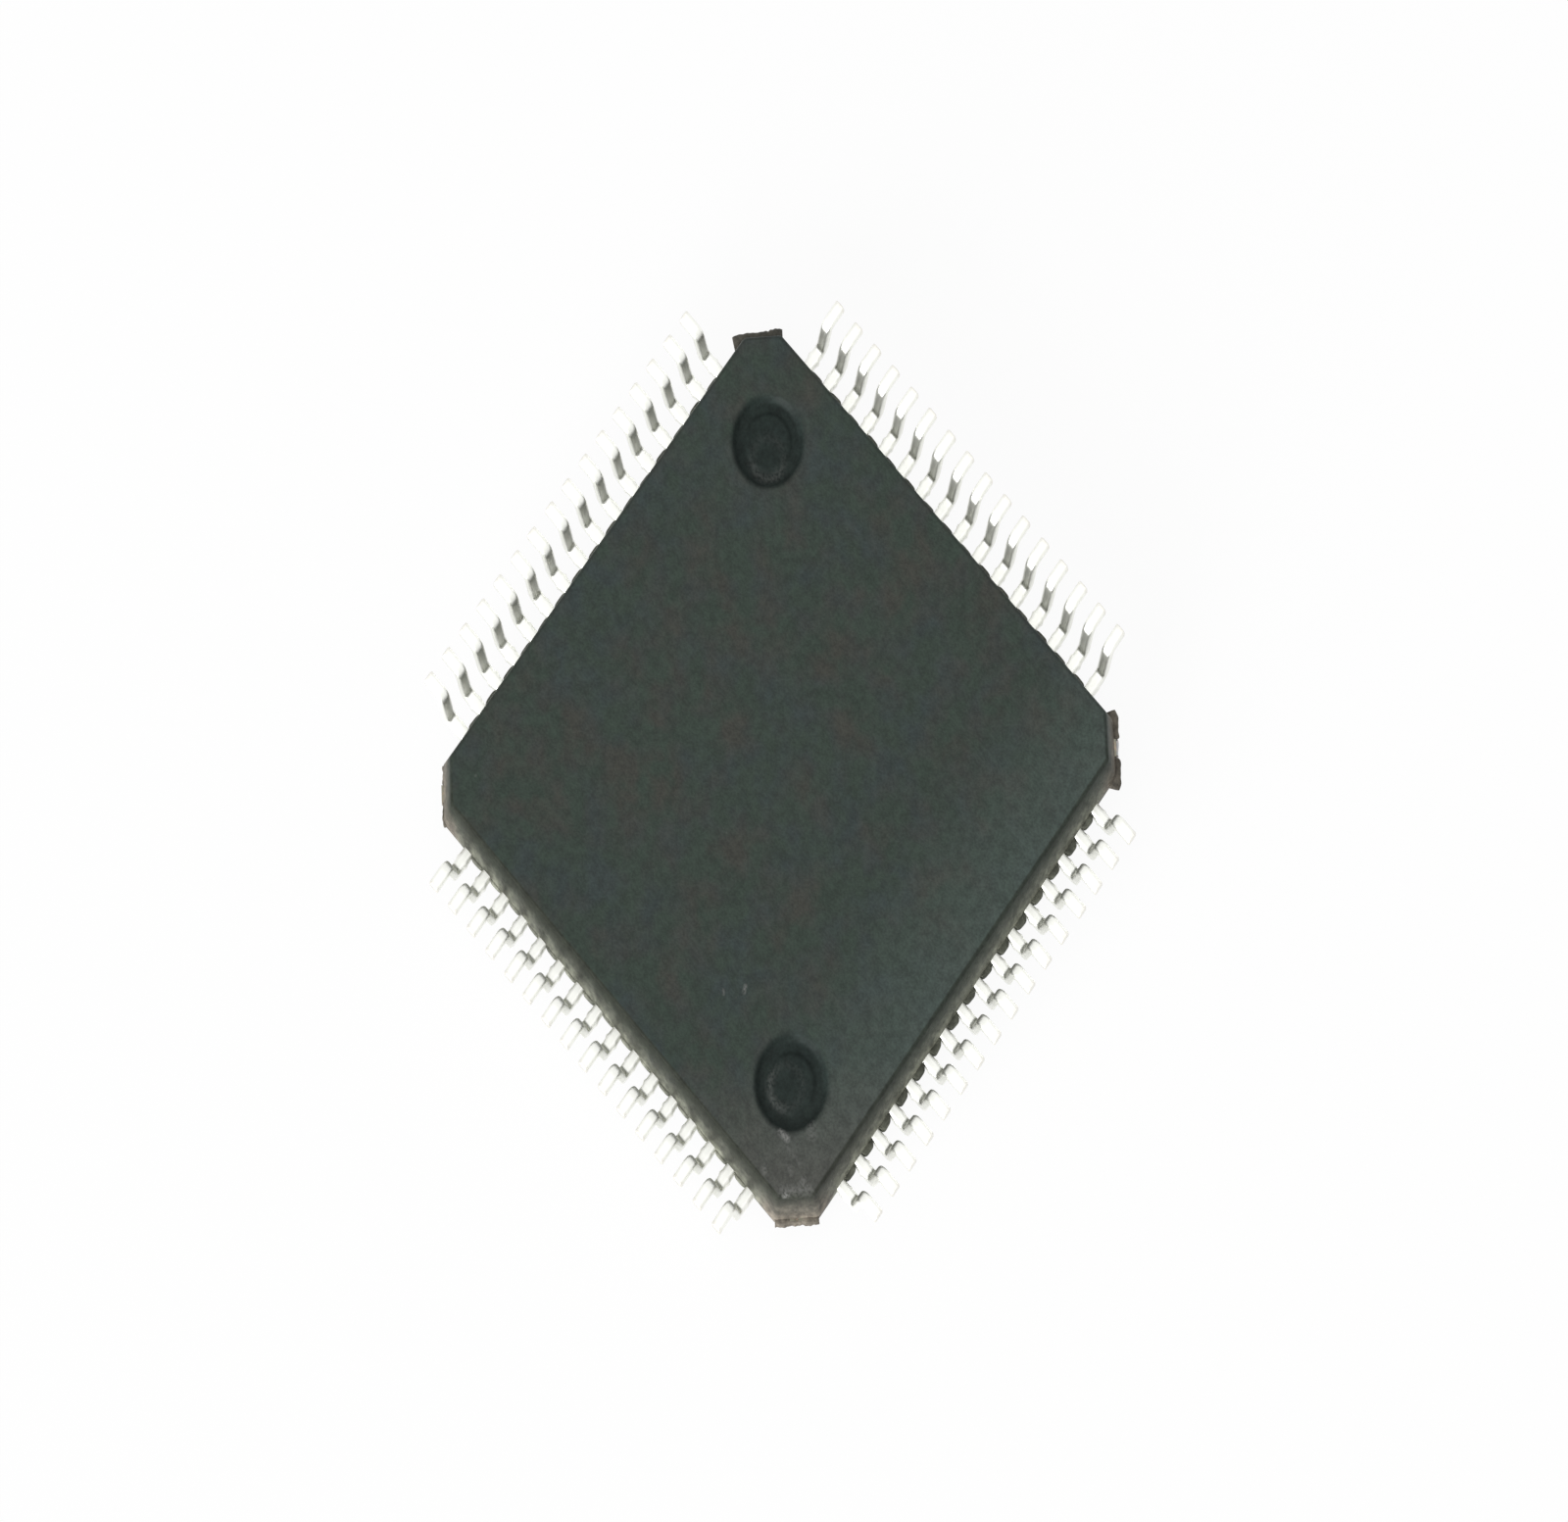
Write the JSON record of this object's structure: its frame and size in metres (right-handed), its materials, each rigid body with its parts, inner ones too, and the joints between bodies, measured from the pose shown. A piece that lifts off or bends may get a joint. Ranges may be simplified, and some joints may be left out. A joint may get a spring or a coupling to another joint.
{
  "type": "quad flat pack chip",
  "caption": "Square low-profile moulded chip package with a drafted body and fine-pitch gull-wing leads on all sides, lying on its top face with the underside and feet upwards.",
  "frame": {"origin": "centre of the flat top face of the body, which the chip lies on, underside and leads up", "axes": "+Z out of the underside of the body, where the feet of the leads point when the chip is soldered down; +X and +Y square to the sides; lead 1 is on the -X side next to the (-X, -Y) corner, beside the dimple in the top face"},
  "size_m": [0.012, 0.012, 0.0015],
  "materials": {
    "mould_compound": "fine matt epoxy mould compound, dark grey-green",
    "tin_plated_leads": "matt tin plating over copper alloy",
    "bare_copper_alloy": "bare stamped copper alloy",
    "die_adhesive": "silver-filled epoxy",
    "silicon": "polished silicon",
    "bond_wire": "gold wire"
  },
  "bodies": {
    "root": {"mould_body": "mould_compound", "leads_1_to_16": "tin_plated_leads", "leads_17_to_32": "tin_plated_leads", "leads_33_to_48": "tin_plated_leads", "leads_49_to_64": "tin_plated_leads", "die_pad": "bare_copper_alloy", "die_adhesive": "die_adhesive", "silicon_die": "silicon", "bond_wires_1_to_16": "bond_wire", "bond_wires_17_to_32": "bond_wire", "bond_wires_33_to_48": "bond_wire", "bond_wires_49_to_64": "bond_wire"}
  },
  "joints": []
}
